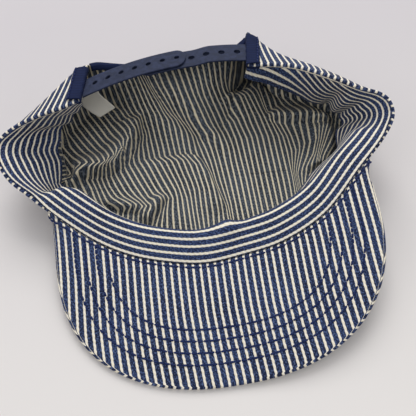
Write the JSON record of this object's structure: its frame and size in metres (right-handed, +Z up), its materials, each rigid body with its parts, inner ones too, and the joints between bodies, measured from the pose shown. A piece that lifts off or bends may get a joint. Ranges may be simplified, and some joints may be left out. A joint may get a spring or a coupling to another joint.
{
  "type": "conductor cap",
  "caption": "Striped twill railroad cap lying upside down, with a stitched visor, a sweatband, a taped back opening and a plastic snap strap.",
  "frame": {"origin": "middle of the cap's outline at table height, as it lies upside down", "axes": "+Z up, -Y out along the visor, +Y to the strapped back opening"},
  "size_m": [0.2345, 0.2158, 0.0475],
  "materials": {
    "striped_twill": "navy cotton twill with woven cream stripes",
    "twill_reverse": "reverse of the same twill, grey-blue with tan stripes",
    "navy_tape": "folded cotton twill tape",
    "strap_plastic": "satin moulded navy plastic",
    "label_ribbon": "smooth off-white label ribbon, bare"
  },
  "bodies": {
    "root": {"visor": "striped_twill", "side_panel": "striped_twill", "sweatband": "striped_twill", "top_panel": "twill_reverse", "binding_left": "navy_tape", "binding_right": "navy_tape", "binding_arch": "navy_tape", "strap_left": "strap_plastic", "strap_right": "strap_plastic", "care_label": "label_ribbon"}
  },
  "joints": []
}
